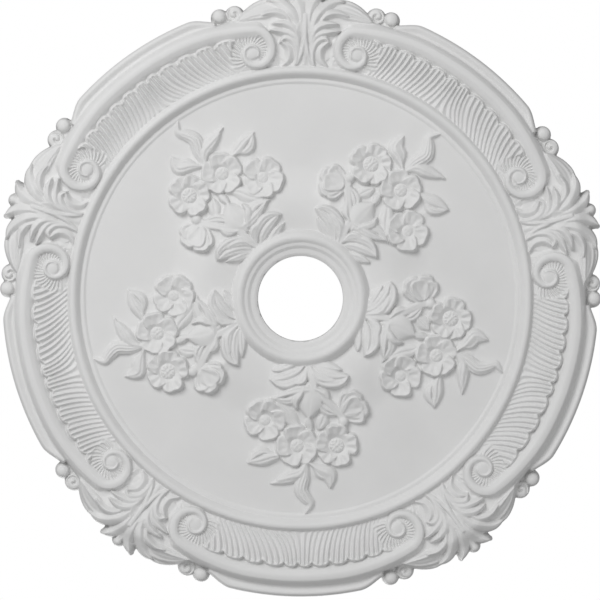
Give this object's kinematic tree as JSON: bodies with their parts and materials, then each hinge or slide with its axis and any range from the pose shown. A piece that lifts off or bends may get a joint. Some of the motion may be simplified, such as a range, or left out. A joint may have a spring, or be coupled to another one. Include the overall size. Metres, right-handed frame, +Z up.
{
  "type": "ceiling rose",
  "caption": "Round moulded ceiling rose with a centre hole, flower sprays on a dished field, scrolled and fluted border panels and acanthus between them.",
  "frame": {"origin": "centre of the flat back, on the axis of the centre hole, in the plane of the ceiling", "axes": "+Z up into the ceiling, out of the flat back; the relief hangs towards -Z; +Y towards the middle of one acanthus cluster"},
  "size_m": [0.6746, 0.6807, 0.0358],
  "materials": {
    "white_primer": "factory white primer, matt, over moulded polyurethane foam"
  },
  "bodies": {
    "root": {"ceiling_rose": "white_primer"}
  },
  "joints": []
}
